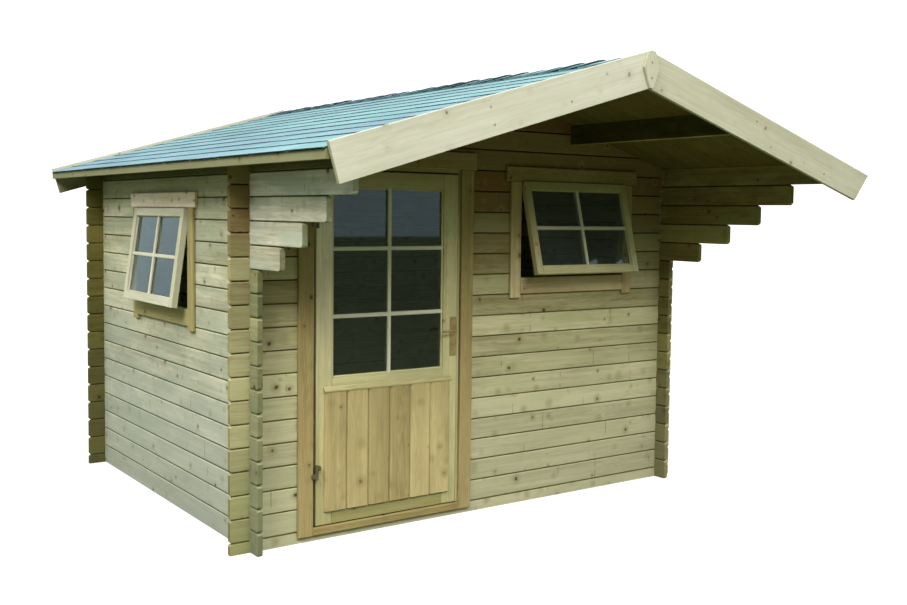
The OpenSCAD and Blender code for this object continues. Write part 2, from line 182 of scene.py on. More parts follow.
# dim is painted shade, painted light where it is below 0, and in a few places plain darkening
# Brightness left where the attribute dim is 1, and power by which blue falls faster than red
DIM_LEFT, DIM_BLUE = 0.25, 1.6


def timber_tone(g, grain, tone, streak, cloud, weights, lengths):
    """How pale the wood is: by timber, in clouds, in streaks, in rings and by glued length."""
    field = g.noise(g.stretch(grain, (0.55, 9, 9)), detail=2)
    ring_line = g.math("SINE", g.math("MULTIPLY", field, 230.0))
    spread, cloud_weight, streaks, rings = weights
    terms = [(tone, spread), (cloud, cloud_weight), (streak, streaks),
             (g.math("MULTIPLY_ADD", ring_line, 0.5, 0.5), rings)]
    if lengths:
        cells = g.node("TexVoronoi", {"W": g.part(grain, 0), "Scale": JOINT_RATE},
                       voronoi_dimensions="1D")
        terms.append((g.channel(cells.outputs["Color"], 0), 0.1))
    return g.total(*terms)


def finger_joints(g, grain):
    """1 on the thin, half-worn lines where short lengths are glued end to end."""
    gap = g.node("TexVoronoi", {"W": g.part(grain, 0), "Scale": JOINT_RATE},
                 voronoi_dimensions="1D", feature="DISTANCE_TO_EDGE")
    line = g.inverse(g.fade(gap.outputs["Distance"], 0.002, 0.009))
    worn = g.fade(g.noise(g.stretch(grain, (3, 19, 3)), detail=1), 0.5, 0.62)
    return g.math("MULTIPLY", g.math("MULTIPLY", line, worn), 0.5)


def knot_marks(g, grain):
    """The halo and the core of scattered knots, each 0 to 1."""
    wobble = g.noise(grain, 26, 2, output=1)
    warped = g.node("VectorMath", {0: wobble, 1: (0.022, 0.016, 0.016), 2: grain},
                    operation="MULTIPLY_ADD").outputs[0]
    cell = g.node("TexVoronoi", {"Vector": warped, "Scale": KNOT_RATE})
    size = g.math("MULTIPLY_ADD", g.channel(cell.outputs["Color"], 1), 0.12, 0.05)
    ratio = g.math("DIVIDE", cell.outputs["Distance"], size)
    return g.inverse(g.fade(ratio, 0.9, 2.9)), g.inverse(g.fade(ratio, 0.4, 1.05))


def wood(name, pale, deep, knot=srgb(84, 60, 36), knots=1.0, spread=0.7, cloud_weight=1.1,
         streaks=1.25, rings=0.16, lengths=False, tint=srgb(168, 172, 120), tinted=0.35,
         foot=None, head=None, mixed=None):
    """Pine with streaks, growth rings, knots and, with lengths, finger joints.

    foot and head are (colour, height fully that colour, height where it ends, strength); head is
    painted shade under the roof, and mixed is a second colour of that shade which pale-toned
    timbers take."""
    g = new_material(name)
    grain = g.attribute("grain", "Vector")
    tone = g.attribute("tone", "Fac")
    streak = g.noise(g.stretch(grain, (1.5, 52, 52)), detail=5, roughness=0.65)
    cloud = g.noise(g.stretch(grain, (1.6, 6, 6)), detail=4, roughness=0.6)
    fine = g.noise(g.stretch(grain, (16, 240, 240)), detail=2)
    weights = (spread, cloud_weight, streaks, rings)
    colour = g.mix(timber_tone(g, grain, tone, streak, cloud, weights, lengths), deep, pale)
    patch = g.fade(g.noise(g.stretch(grain, (2.6, 8, 8)), detail=3), 0.44, 0.62)
    colour = g.mix(g.math("MULTIPLY", patch, tinted), colour, tint)

    height = g.math("SUBTRACT", g.part(g.place(), 2), 0.15)
    # The head band is painted shade under the roof
    for band in (foot, head):
        if band:
            shade, full, none, strength = band
            if band is head and mixed:
                shade = g.mix(tone, shade, mixed)
            reach = g.fade(g.math("MULTIPLY_ADD", cloud, 0.3, height), none, full)
            colour = g.mix(g.math("MULTIPLY", reach, strength), colour, shade)

    halo, core = knot_marks(g, grain)
    colour = g.mix(g.math("MULTIPLY", halo, 0.4 * knots), colour, deep)
    colour = g.mix(g.math("MULTIPLY", core, 0.85 * knots), colour, knot)
    if lengths:
        colour = g.mix(finger_joints(g, grain), colour, knot)

    # end darkens end grain; dim paints shade and, below 0, light
    light = g.math("MULTIPLY", g.ramp(g.attribute("end", "Fac"), 1.0, 0.72),
                   g.ramp(g.attribute("dim", "Fac"), 1.0, DIM_LEFT, clamp=False))
    blue = g.math("POWER", light, DIM_BLUE)
    shade = g.node("CombineColor", {0: light, 1: light, 2: blue}).outputs[0]
    colour = g.mix(1.0, colour, shade, "MULTIPLY")
    relief = g.math("ADD", g.math("MULTIPLY", streak, 0.8), g.math("MULTIPLY", fine, 0.5))
    relief = g.math("MULTIPLY_ADD", core, -0.5, relief)
    return g.surface(Base_Color=colour, Roughness=0.82, Specular_IOR_Level=0.25,
                     Normal=g.bump(relief, 0.35, 0.0016))


def felt(name, pale, deep, edge, moss):
    """Mineral-surfaced bitumen: granules, a tone for each tab, a dark edge, a mossy wash, and
    painted shade under the lap of each course.
    """
    g = new_material(name)
    grain = g.attribute("grain", "Vector")
    granule = g.noise(grain, 420, 2)
    speck = g.noise(grain, 95, 2)
    wash = g.noise(g.stretch(grain, (3.2, 1.1, 1.1)), detail=3)
    tone = g.attribute("tone", "Fac")
    colour = g.mix(g.total((tone, 0.25), (wash, 0.55), (granule, 0.9), (speck, 0.5)), deep, pale)
    mossy = g.fade(g.noise(g.place(), 0.9, 2), 0.4, 0.62)
    colour = g.mix(mossy, colour, g.mix(0.26, colour, moss))
    # The dark edge colour also paints the shade under the lap of the course above
    dark = g.math("MAXIMUM", g.math("MULTIPLY", g.attribute("end", "Fac"), 0.86),
                  g.math("MULTIPLY", g.attribute("dim", "Fac"), 0.7))
    colour = g.mix(dark, colour, edge)
    height = g.math("MULTIPLY_ADD", granule, 1.0, g.math("MULTIPLY", speck, 0.6))
    return g.surface(Base_Color=colour, Roughness=0.88, Specular_IOR_Level=0.3,
                     Normal=g.bump(height, 0.5, 0.0012))


def metal(name, pale, deep, rough, metallic):
    """Dull metal, worn in places."""
    g = new_material(name)
    place = g.place()
    wear = g.noise(place, 22, 3)
    colour = g.mix(g.fade(wear, 0.2, 0.8), deep, pale)
    gloss = g.ramp(g.noise(place, 140, 3), rough - 0.12, rough + 0.15)
    return g.surface(Base_Color=colour, Roughness=gloss, Metallic=metallic,
                     Normal=g.bump(wear, 0.15, 0.0006))


def glass(name, tint, clear=1.0):
    """Thin window glass, faintly dusty; what isn't clear is a pale film of dirt."""
    g = new_material(name)
    dust = g.fade(g.noise(g.place(), 3.1, 4), 0.38, 0.75)
    dusty = tuple(0.86 * c for c in tint[:3]) + (1,)
    return g.surface(Base_Color=g.mix(dust, tint, dusty), Roughness=g.ramp(dust, 0.01, 0.05),
                     Transmission_Weight=clear, IOR=1.5)


GLASS_TINT = srgb(190, 204, 200)
FINISH = {
    "end_logs": wood("end_logs_pine", srgb(202, 193, 153), srgb(134, 123, 82), lengths=True,
                     knots=1.15, foot=(srgb(164, 166, 138), 0.3, 1.2, 0.45),
                     head=(srgb(106, 72, 22), 1.85, 1.05, 0.88), mixed=srgb(108, 98, 44)),
    "side_logs": wood("side_logs_pine", srgb(212, 209, 178), srgb(138, 134, 104), lengths=True,
                      knots=1.2, tint=srgb(148, 156, 132), tinted=0.55, cloud_weight=1.4,
                      foot=(srgb(152, 157, 147), 0.25, 1.5, 0.65),
                      head=(srgb(84, 72, 30), 1.96, 1.7, 0.6)),
    # Purlins and roof boards in dark pine: painted shade under the roof
    "purlin_wood": wood("purlin_pine", srgb(140, 126, 62), srgb(96, 82, 34), spread=0.3),
    "roof_boards": wood("roof_board_pine", srgb(106, 93, 38), srgb(80, 67, 23), spread=0.12,
                        streaks=0.5, cloud_weight=0.5, tinted=0.05),
    "barge_wood": wood("bargeboard_pine", srgb(180, 178, 162), srgb(150, 146, 122), knots=0.8,
                       spread=0.4, tinted=0.25, tint=srgb(160, 160, 134)),
    "trim_wood": wood("trim_pine", srgb(180, 165, 116), srgb(134, 116, 72), spread=0.6,
                      rings=0.2, tint=srgb(156, 128, 84), tinted=0.3),
    "joinery": wood("joinery_pine", srgb(208, 201, 154), srgb(162, 152, 106), knots=0.6,
                    spread=0.5, rings=0.2, tint=srgb(162, 158, 122),
                    head=(srgb(120, 106, 46), 1.95, 1.5, 0.75)),
    "panel_boards": wood("panel_pine", srgb(194, 177, 126), srgb(132, 116, 72), spread=0.7,
                         rings=0.15, streaks=0.9, tint=srgb(158, 144, 98), knots=1.3,
                         knot=srgb(120, 88, 56)),
    "floor_wood": wood("floor_pine", srgb(190, 180, 130), srgb(142, 128, 84), spread=0.8,
                       rings=0.2),
    "shingles": felt("shingle_felt", srgb(122, 149, 158), srgb(62, 94, 106),
                     edge=srgb(24, 34, 40), moss=srgb(120, 170, 156)),
    "hinge_steel": metal("hinge_steel_dull", srgb(112, 104, 76), srgb(78, 70, 46), 0.6, 0.45),
    "brass": metal("lock_brass", srgb(172, 150, 98), srgb(142, 120, 74), 0.5, 0.5),
    "glass": glass("window_glass", GLASS_TINT),
}
# Paler timber of the glazing bars and of the side window's sash
BAR_PINE = wood("glazing_bar_pine", srgb(206, 204, 184), srgb(168, 164, 136), knots=0.1,
                spread=0.3, tinted=0.1, head=(srgb(150, 142, 96), 1.98, 1.6, 0.5))
PALE_TRIM = wood("side_window_trim_pine", srgb(212, 198, 154), srgb(162, 148, 108),
                 spread=0.4, tinted=0.2)
# The rear and right walls, with no shaded band under the roof
BACK_PINE = wood("back_wall_pine", srgb(186, 173, 118), srgb(126, 111, 64), lengths=True,
                 spread=0.9, foot=(srgb(150, 150, 132), 0.3, 1.3, 0.5))
FILMED_GLASS = glass("front_window_glass_film", GLASS_TINT, 0.955)

# ---------- shapes ----------


def block(low, high, bevel=0.0015, segments=2):
    """A box between two corners with rounded arrises."""
    bm = bmesh.new()
    bmesh.ops.create_cube(bm, size=1)
    low, high = Vector(low), Vector(high)
    for v in bm.verts:
        v.co = Vector((low[i] if v.co[i] < 0 else high[i] for i in range(3)))
    soften(bm, bevel, segments)
    return bm


def prism(outline, direction):
    """An outline of 3-D points swept along a vector."""
    bm = bmesh.new()
    near = [bm.verts.new(p) for p in outline]
    far = [bm.verts.new(Vector(p) + direction) for p in outline]
    bm.faces.new(near)
    bm.faces.new(far[::-1])
    for i in range(len(near)):
        j = (i + 1) % len(near)
        bm.faces.new((near[i], far[i], far[j], near[j]))
    bmesh.ops.recalc_face_normals(bm, faces=bm.faces)
    return bm


def soften(bm, width, segments=2, least=20):
    """Rounds every edge sharper than the given angle in degrees."""
    sharp = [e for e in bm.edges
             if len(e.link_faces) == 2 and e.calc_face_angle(0) > math.radians(least)]
    if width and sharp:
        bmesh.ops.bevel(bm, geom=sharp, offset=width, offset_type="OFFSET", segments=segments,
                        profile=0.5, affect="EDGES", clamp_overlap=True)


def cut(bm, point, normal):
    """Puts edges where a plane crosses the shape, for dim to step there."""
    bmesh.ops.bisect_plane(bm, geom=bm.verts[:] + bm.edges[:] + bm.faces[:],
                           plane_co=point, plane_no=normal)


def islands(node):
    """The node's separate solids, each as a bmesh of flat faces."""
    bm = bmesh.new()
    bm.from_mesh(NODES[node].data)
    bmesh.ops.remove_doubles(bm, verts=bm.verts, dist=1e-5)
    bmesh.ops.dissolve_limit(bm, angle_limit=math.radians(0.3), verts=bm.verts, edges=bm.edges)
    bm.verts.ensure_lookup_table()
    group = {}
    for start in bm.verts:
        if start in group:
            continue
        number, queue = len(set(group.values())), [start]
        group[start] = number
        while queue:
            for e in queue.pop().link_edges:
                for v in e.verts:
                    if v not in group:
                        group[v] = number
                        queue.append(v)
    parts = {}
    for f in bm.faces:
        parts.setdefault(group[f.verts[0]], []).append(f)
    out = []
    for number in sorted(parts):
        one, copy = bmesh.new(), {}
        for f in parts[number]:
            for v in f.verts:
                if v not in copy:
                    copy[v] = one.verts.new(v.co)
            one.faces.new([copy[v] for v in f.verts])
        one.normal_update()
        out.append(one)
    bm.free()
    return out


class Piece:
    """Joins islands, each with its own grain frame and tone, into one object."""

    def __init__(self, name):
        self.name = name
        self.random = random.Random(name)
        self.verts, self.faces = [], []
        self.grain, self.tone, self.end, self.dim = [], [], [], []

    def add(self, bm, grain=ALONG_X, tone=None, place=None, dim=0.0):
        """Takes one island; dim is how dark it is, or a function of the place."""
        a, b = grain
        c = a.cross(b)
        shift = [self.random.uniform(0, 9) for _ in range(3)]
        tone_here = self.random.random()
        tone = tone_here if tone is None else tone
        start = len(self.verts)
        bm.verts.index_update()
        bm.normal_update()
        for v in bm.verts:
            self.grain.extend(v.co.dot(axis) + move for axis, move in zip((a, b, c), shift))
            self.tone.append(tone)
            self.dim.append(dim(v.co) if callable(dim) else dim)
            self.verts.append(place @ v.co if place else v.co.copy())
        for f in bm.faces:
            self.faces.append([start + v.index for v in f.verts])
            self.end.append(1.0 if abs(f.normal.dot(a)) > 0.85 else 0.0)
        bm.free()
        return self

    def build(self, node=None, slot=None, body=None, material=None, smooth=False):
        """Makes the object, in place of a node and with its body and slot, or with those given."""
        mesh = bpy.data.meshes.new(self.name)
        mesh.from_pydata(self.verts, [], self.faces)
        for name, kind, domain, field, values in (
            ("grain", "FLOAT_VECTOR", "POINT", "vector", self.grain),
            ("tone", "FLOAT", "POINT", "value", self.tone),
            ("dim", "FLOAT", "POINT", "value", self.dim),
            ("end", "FLOAT", "FACE", "value", self.end),
        ):
            mesh.attributes.new(name, kind, domain).data.foreach_set(field, values)
        slot = slot or SLOT_OF[node]
        mesh.materials.append(material or FINISH[slot])
        if smooth:
            mesh.shade_smooth()
        mesh.update()
        obj = bpy.data.objects.new(self.name, mesh)
        bpy.context.scene.collection.objects.link(obj)
        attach(obj, body or BODY_OF[node])
        if node:
            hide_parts(node)
        return obj


def span(bm):
    heights = [v.co.z for v in bm.verts]
    return min(heights), max(heights)


# Width of a joint between logs as drawn, and depth of the shoulder beside its hidden tongue
LOG_GAP, SHOULDER = 0.004, 0.0065
# How dark the faces of a joint are drawn: painted shade in the crease between logs
JOINT_DIM = 0.95


def tongue(bm):
    """Opens a joint above and below a log, and closes it again with a hidden tongue on top."""
    low, high = span(bm)
    for v in bm.verts:
        if v.co.z > (low + high) / 2:
            v.co.z -= LOG_GAP / 2
        elif low > 1e-4:
            v.co.z += LOG_GAP / 2
    bm.normal_update()
    tops = [f for f in bm.faces
            if f.normal.z > 0.99 and f.calc_center_median().z > high - LOG_GAP]
    bmesh.ops.inset_individual(bm, faces=tops, thickness=SHOULDER)
    for f in tops:
        for v in f.verts:
            v.co.z = high + LOG_GAP / 2


def dress(node, grain, bevel=0.002, segments=2, tones=None, dim=0.0, material=None):
    """Stands for a CAD node with the same solids, arrises rounded and each with its own grain."""
    piece = Piece(node + "_timber")
    for number, bm in enumerate(islands(node)):
        soften(bm, bevel, segments)
        piece.add(bm, grain, tones[number] if tones else None, dim=dim)
    return piece.build(node, material=material)


def dress_logs(node, grain, dim, edge, across, material):
    """The same for logs, with open joints. dim steps on both sides of a plane across X or Y."""
    piece = Piece(node + "_timber")
    bevel = 0.0018
    for bm in islands(node):
        soften(bm, bevel)
        for side in (-STEP_HALF, STEP_HALF):
            cut(bm, across * (edge + side), across)
        tongue(bm)
        low, high = span(bm)
        foot, head = low + LOG_GAP / 2, high - LOG_GAP - bevel * 0.6

        # Painted shade on the faces in a joint, over the dimming given for the place
        def shade(co):
            in_joint = LOG_GAP < co.z < foot or co.z > head
            return max(dim(co), JOINT_DIM if in_joint else -1.0)

        piece.add(bm, grain, dim=shade)
    piece.build(node, material=material)


def finish_node(node, material=None):
    """Gives a CAD node that shows as it is the finish of its slot, or another."""
    NODES[node].data.materials.clear()
    NODES[node].data.materials.append(material or FINISH[SLOT_OF[node]])


def size_of(node):
    low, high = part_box(node)
    return low, high, high - low


def extent(points):
    """The low and high corners of a cloud of points."""
    return tuple(Vector((least(p[i] for p in points) for i in range(3))) for least in (min, max))


def climb(z, low, height):
    """0 at a height, 1 where it is that much higher."""
    return min(1.0, max(0.0, (z - low) / height))


# ---------- walls ----------

# Half the width over which a shade steps at a wall's corner, and a margin inside it
STEP_HALF, MARGIN = 0.0015, 0.001
SIDE_LOGS = ("left_wall_even_logs", "left_wall_odd_logs")
WALL_LEFT = min(v.co.x for v in NODES["left_wall_even_logs"].data.vertices)
WALL_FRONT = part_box("door_frame")[0].y
# Lower edges of the left wall's logs
COURSES = sorted({round(span(bm)[0], 3) for node in SIDE_LOGS for bm in islands(node)})
# Lower edge of the lowest log that reaches out under the porch roof
STEP_FOOT = min(v.co.z for node in SIDE_LOGS for v in NODES[node].data.vertices
                if v.co.y < WALL_FRONT - 0.25) - 0.003
TRIM_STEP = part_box("side_window_side_trims")[1].z + 0.0001


def rear_stub_darkening(co):
    """The left stubs of the rear wall are darker."""
    return 0.9 if co.x < WALL_LEFT - MARGIN else 0.0


def corner_darkening(co):
    """The left stubs of the front wall, darker towards the ground."""
    return 0.6 * max(-0.08, 1 - co.z / 1.25) if co.x < WALL_LEFT - MARGIN else 0.0


def right_porch_painted_shade(co):
    """Painted shade: the porch logs of the right wall, under the porch roof, are darker than the
    wall itself.
    """
    return 0.35 if co.y < WALL_FRONT - MARGIN else 0.0


def left_painted_light_and_shade(co):
    """Painted shade on the left wall's top log, in the shade of the eaves, and painted light on the
    stepped porch logs under it, which are paler; the stubs below those are darker."""
    if co.z > COURSES[-1] - STEP_HALF:
        return 0.97
    if co.y > WALL_FRONT - MARGIN:
        return 0.0
    if co.z > COURSES[-2] - STEP_HALF:
        return -0.9
    return -0.35 if co.z > STEP_FOOT else 0.55


def porch_shade(co):
    """Timber on the front wall is browner the higher it stands under the porch roof."""
    return 0.4 * climb(co.z, 1.2, 0.7)


def window_trim_shade(co):
    """The same, on trims that start paler than the door's."""
    return 0.9 * climb(co.z, 1.5, 0.35) - 0.6


def side_trim_shade(co):
    """The side window's top trim is paler than the trims below it."""
    return -1.2 if co.z > TRIM_STEP else 0.5


# dimming is the painted shade and light, and the darkening, of each wall's logs
for wall, grain, dimming, edge, across, pine in (
    ("front", ALONG_X, corner_darkening, WALL_LEFT, X, None),
    ("rear", ALONG_X, rear_stub_darkening, WALL_LEFT, X, BACK_PINE),
    ("left", ALONG_Y, left_painted_light_and_shade, WALL_FRONT, Y, None),
    ("right", ALONG_Y, right_porch_painted_shade, WALL_FRONT, Y, BACK_PINE),
):
    for parity in ("even", "odd"):
        dress_logs(f"{wall}_wall_{parity}_logs", grain, dimming, edge, across, pine)

# ---------- roof ----------

ridge_low, ridge_high, _ = size_of("ridge_cap")
deck_low, deck_high, _ = size_of("right_roof_boards")
slab_low, slab_high, _ = size_of("right_shingles")
RIDGE_X = (ridge_low.x + ridge_high.x) / 2
EAVES_Z = max(v.co.z for v in NODES["right_shingles"].data.vertices
              if v.co.x > slab_high.x - 1e-4)
SLOPE = math.atan2(slab_high.z - EAVES_Z, slab_high.x - RIDGE_X)
# Down each slope and out of it; -1 is the left slope, 1 the right one
DOWN = {side: Vector((side * math.cos(SLOPE), 0, -math.sin(SLOPE))) for side in (-1, 1)}
OUT = {side: Vector((side * math.sin(SLOPE), 0, math.cos(SLOPE))) for side in (-1, 1)}
DECK_APEX = Vector((RIDGE_X, 0, deck_high.z))
SLAB_APEX = Vector((RIDGE_X, 0, slab_high.z))
BARGE_APEX = Vector((RIDGE_X, 0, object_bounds()[1].z))
SHINGLE_LENGTH = (slab_high.x - RIDGE_X) / math.cos(SLOPE)
DECK_LENGTH = (deck_high.x - RIDGE_X) / math.cos(SLOPE)
# How far the shade under a shingle's lower edge reaches
SHADOW = 0.009


def deck_board(side, y0, y1, s0, s1, low, high):
    """A board on the deck's slope: y0..y1 along the ridge, s0..s1 down the slope. low and high
    are the heights of its faces out of the slope, each at s0 and at s1."""
    corners = [DECK_APEX + DOWN[side] * s + OUT[side] * n
               for s, n in ((s0, low[0]), (s1, low[1]), (s1, high[1]), (s0, high[0]))]
    return prism([Vector((c.x, y0, c.z)) for c in corners], Vector((0, y1 - y0, 0)))


def roof_deck(side, name):
    """Boards from ridge to eaves, with V joints on the underside."""
    piece = Piece(name + "_timber")
    count, gap, thick, vee = 40, 0.0005, 0.018, 0.004
    pitch = (deck_high.y - deck_low.y) / count

    def below(v):
        return (v.co - DECK_APEX).dot(OUT[side]) < -thick / 2

    def down_slope(e):
        return abs((e.verts[0].co - e.verts[1].co).normalized().dot(DOWN[side])) > 0.9

    for i in range(count):
        y = deck_low.y + i * pitch
        bm = deck_board(side, y + gap, y + pitch - gap, 0.0, DECK_LENGTH,
                        (-thick, -thick), (0, 0))
        for v in bm.verts:
            if abs(v.co.x - RIDGE_X) < 0.02:
                drop = thick / math.cos(SLOPE) if below(v) else 0.0
                v.co = Vector((RIDGE_X, v.co.y, DECK_APEX.z - drop))
        edges = [e for e in bm.edges if down_slope(e) and below(e.verts[0])]
        bmesh.ops.bevel(bm, geom=edges, offset=vee, offset_type="OFFSET", segments=1,
                        affect="EDGES")
        piece.add(bm, (DOWN[side], Y))
    piece.build(name)


def shingle_slope(side, name):
    """Courses of square tabs, each lapping the course below, over a dark underlay."""
    piece = Piece(name + "_courses")
    rng = random.Random(name)
    grain = (DOWN[side], Y)
    front, back = slab_low.y, slab_high.y
    piece.add(deck_board(side, front, back, 0, SHINGLE_LENGTH - 0.012,
                         (0.0002, 0.0002), (0.001, 0.001)), grain, tone=0.1)
    courses, tab, slot_width, thick = 12, 0.333, 0.006, 0.0036
    show = SHINGLE_LENGTH / courses
    for course in range(courses):
        foot_at = SHINGLE_LENGTH - course * show
        head_at = max(0.004, foot_at - show - 0.05)
        lap = foot_at - show
        shift = (0.5 * tab if course % 2 else 0) + rng.uniform(-0.012, 0.012)
        lap_line = DECK_APEX.dot(DOWN[side]) + lap

        def lap_shade(co):
            return min(1.0, max(0.0, 1.7 - (co.dot(DOWN[side]) - lap_line) / (SHADOW * 1.4)))

        y = front - tab + shift
        while y < back:
            y0, y1 = max(y + slot_width / 2, front), min(y + tab - slot_width / 2, back)
            if y1 - y0 > 0.02:
                lift = rng.uniform(0, 0.0012)
                foot, head = 0.0042 + lift, 0.0012
                down = foot_at + (rng.uniform(-0.002, 0.001) if course else 0)
                bm = deck_board(side, y0, y1, head_at, down,
                                (head, foot), (head + thick, foot + thick))
                for reach in (SHADOW, 2.4 * SHADOW):
                    cut(bm, DECK_APEX + DOWN[side] * (lap + reach), DOWN[side])
                piece.add(bm, grain, tone=rng.random(), dim=lap_shade)
            y += tab
    piece.build(name)


def ridge_caps():
    """Folded caps along the ridge, each lapping the next."""
    piece = Piece("ridge_cap_pieces")
    rng = random.Random("ridge caps")
    reach = (ridge_high.x - RIDGE_X) / math.cos(SLOPE)
    show, lap, thick = 0.142, 0.05, 0.0045
    # Where the fold begins on each slope, how far it is pressed down, and the lifts of both ends
    fold, press, front_lift, back_lift = 0.03, 0.004, 0.01, 0.0025
    y = ridge_low.y
    while y < ridge_high.y - 0.01:
        lift = rng.uniform(-0.003, 0.004)
        bm = bmesh.new()
        rows = []
        for end_y, rise in ((y, front_lift + lift), (min(y + show + lap, ridge_high.y), back_lift)):
            row = []
            for height in (rise, rise + thick):
                left = reach + rng.uniform(-0.003, 0.001)
                for side, s in ((-1, left), (-1, fold), (0, 0), (1, fold), (1, reach)):
                    if side:
                        p = SLAB_APEX + DOWN[side] * s + OUT[side] * height
                    else:
                        p = SLAB_APEX + Z * (height - press)
                    row.append(bm.verts.new((p.x, end_y, p.z)))
            rows.append(row)
        a, b = rows
        for i in range(4):
            bm.faces.new((a[5 + i], a[6 + i], b[6 + i], b[5 + i]))
            bm.faces.new((a[i], b[i], b[i + 1], a[i + 1]))
            bm.faces.new((a[i], a[i + 1], a[6 + i], a[5 + i]))
            bm.faces.new((b[i], b[5 + i], b[6 + i], b[i + 1]))
        for i in (0, 4):
            bm.faces.new((a[i], a[5 + i], b[5 + i], b[i]))
        bmesh.ops.recalc_face_normals(bm, faces=bm.faces)
        piece.add(bm, (Y, X), tone=rng.random())
        y += show
    piece.build("ridge_cap")


roof_deck(-1, "left_roof_boards")
roof_deck(1, "right_roof_boards")
shingle_slope(-1, "left_shingles")
shingle_slope(1, "right_shingles")
ridge_caps()
PURLIN_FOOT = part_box("side_purlins")[0].z + 0.002
REAR_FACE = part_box("rear_left_bargeboard")[0].y + 0.003


def purlin_shade(co):
    """The underside is paler than the sides."""
    return -0.25 if co.z < PURLIN_FOOT else 1.05


def rear_shade(co):
    """The inner faces of the rear boards are under the roof and stay dark."""
    side = 1 if co.x > RIDGE_X else -1
    under = (co - BARGE_APEX).dot(OUT[side]) < -0.012
    return 0.7 if co.y < REAR_FACE and under else 0.0


dress("ridge_purlin", ALONG_Y, 0.003)
dress("side_purlins", ALONG_Y, 0.003, dim=purlin_shade)
dress("eaves_boards", ALONG_Y, 0.0015, dim=0.62)
for board, side, tone, dim in (
    ("front_left", -1, 0.9, 0.0), ("front_right", 1, 0.3, 0.08),
    ("rear_left", -1, 0.9, rear_shade), ("rear_right", 1, 0.3, rear_shade),
):
    dress(board + "_bargeboard", (DOWN[side], OUT[side]), 0.0022, tones=[tone], dim=dim)
dress("apex_plates", UP_X, 0.0015, tones=[0.5, 0.5])

# ---------- door ----------

leaf_low, leaf_high, _ = size_of("door_leaf")
pane_low, pane_high, _ = size_of("door_glass")
panel_low, panel_high, _ = size_of("door_panel")
# Play left between butted members, so that their ends don't share a plane
PLAY = 0.0004


def beads(piece, low, high, faces, width, bevel, place=None):
    """Thin square rods round a pane, on each of its faces given as a span of Y."""
    for y0, y1 in faces:
        for x in (low.x, high.x - width):
            piece.add(block((x, y0, low.z), (x + width, y1, high.z), bevel), UP_X, 0.9, place)
        for z in (low.z, high.z - width):
            rod = block((low.x + width, y0, z), (high.x - width, y1, z + width), bevel)
            piece.add(rod, ALONG_X, 0.9, place)


def door_leaf():
    """Stiles and rails butted together, with beads round the glass and a drip over the boards."""
    piece = Piece("door_leaf_joinery")
    y0, y1 = leaf_low.y, leaf_high.y
    z0, z1 = leaf_low.z, leaf_high.z
    # upper is painted light on each stile beside and above the glass, the left one most
    for x0, x1, upper in ((leaf_low.x, pane_low.x, -1.4), (pane_high.x, leaf_high.x, -0.15)):
        stile = block((x0, y0, z0), (x1, y1, z1), 0.0025)
        cut(stile, Z * pane_low.z, Z)

        def stile_shade(co):
            if co.z < z0 + 0.1:
                return 0.3
            return 0.05 if co.z < pane_low.z + 0.01 else upper

        piece.add(stile, UP_X, dim=stile_shade)
    # Each rail with how much darker it is drawn, the bottom rail most
    for low, high, dimming in ((pane_high.z, z1, 0), (panel_high.z, pane_low.z, 0.12),
                            (z0, panel_low.z + 0.03, 0.5)):
        rail = block((pane_low.x + PLAY, y0, low), (pane_high.x - PLAY, y1, high), 0.0025)
        piece.add(rail, ALONG_X, dim=dimming)
    # The drip's section: how far it stands out of the leaf, and height over the boards
    section = ((0, 0), (0.016, -0.001), (0.018, 0.003), (0.018, 0.009), (0.011, 0.013),
               (0.006, 0.022), (0, 0.026))
    x0, x1 = panel_low.x - 0.004, panel_high.x + 0.004
    drip = prism([Vector((x0, y0 - d, panel_high.z + h)) for d, h in section], X * (x1 - x0))
    piece.add(drip, ALONG_X, dim=0.2)
    beads(piece, pane_low, pane_high,
          ((y0 + 0.006, pane_low.y), (pane_high.y, y1 - 0.003)), 0.01, 0.003)
    piece.build("door_leaf")


def glazing_bars(name, low, high, levels, width):
    """One upright and crossed bars on both faces of a pane, in the pane's own frame: X across,
    Y through it, Z up. levels are shares of its height."""
    piece = Piece(name)
    thick = 0.014
    for y0, y1 in ((low.y - thick, low.y), (high.y, high.y + thick)):
        x = low.x + 0.5 * (high.x - low.x)
        upright = block((x - width / 2, y0, low.z), (x + width / 2, y1, high.z), 0.0045, 3)
        piece.add(upright, UP_X, 0.95)
        for share in levels:
            z = low.z + share * (high.z - low.z)
            bar = block((low.x, y0 + 2 * PLAY, z - width / 2), (high.x, y1, z + width / 2),
                        0.0045, 3)
            piece.add(bar, ALONG_X, 0.95)
    return piece


def door_boards():
    """Six upright boards with wide V joints."""
    piece = Piece("door_panel_boards")
    tones = (0.35, 0.45, 0.3, 0.15, 0.7, 0.75)
    pitch = (panel_high.x - panel_low.x) / len(tones)
    y0, y1, z = panel_low.y, panel_high.y, panel_low.z
    vee = 0.009
    for i, tone in enumerate(tones):
        x0 = panel_low.x + i * pitch + PLAY
        x1 = panel_low.x + (i + 1) * pitch - PLAY
        outline = ((x0, y1), (x1, y1), (x1, y0 + vee), (x1 - vee, y0), (x0 + vee, y0),
                   (x0, y0 + vee))
        board = prism([Vector((x, y, z)) for x, y in outline], Z * (panel_high.z - z))
        piece.add(board, UP_X, tone)
    piece.build("door_panel")


def round_the_circle(sides):
    """Cosine and sine of equal steps of a full turn."""
    return [(math.cos(2 * math.pi * i / sides), math.sin(2 * math.pi * i / sides))
            for i in range(sides)]


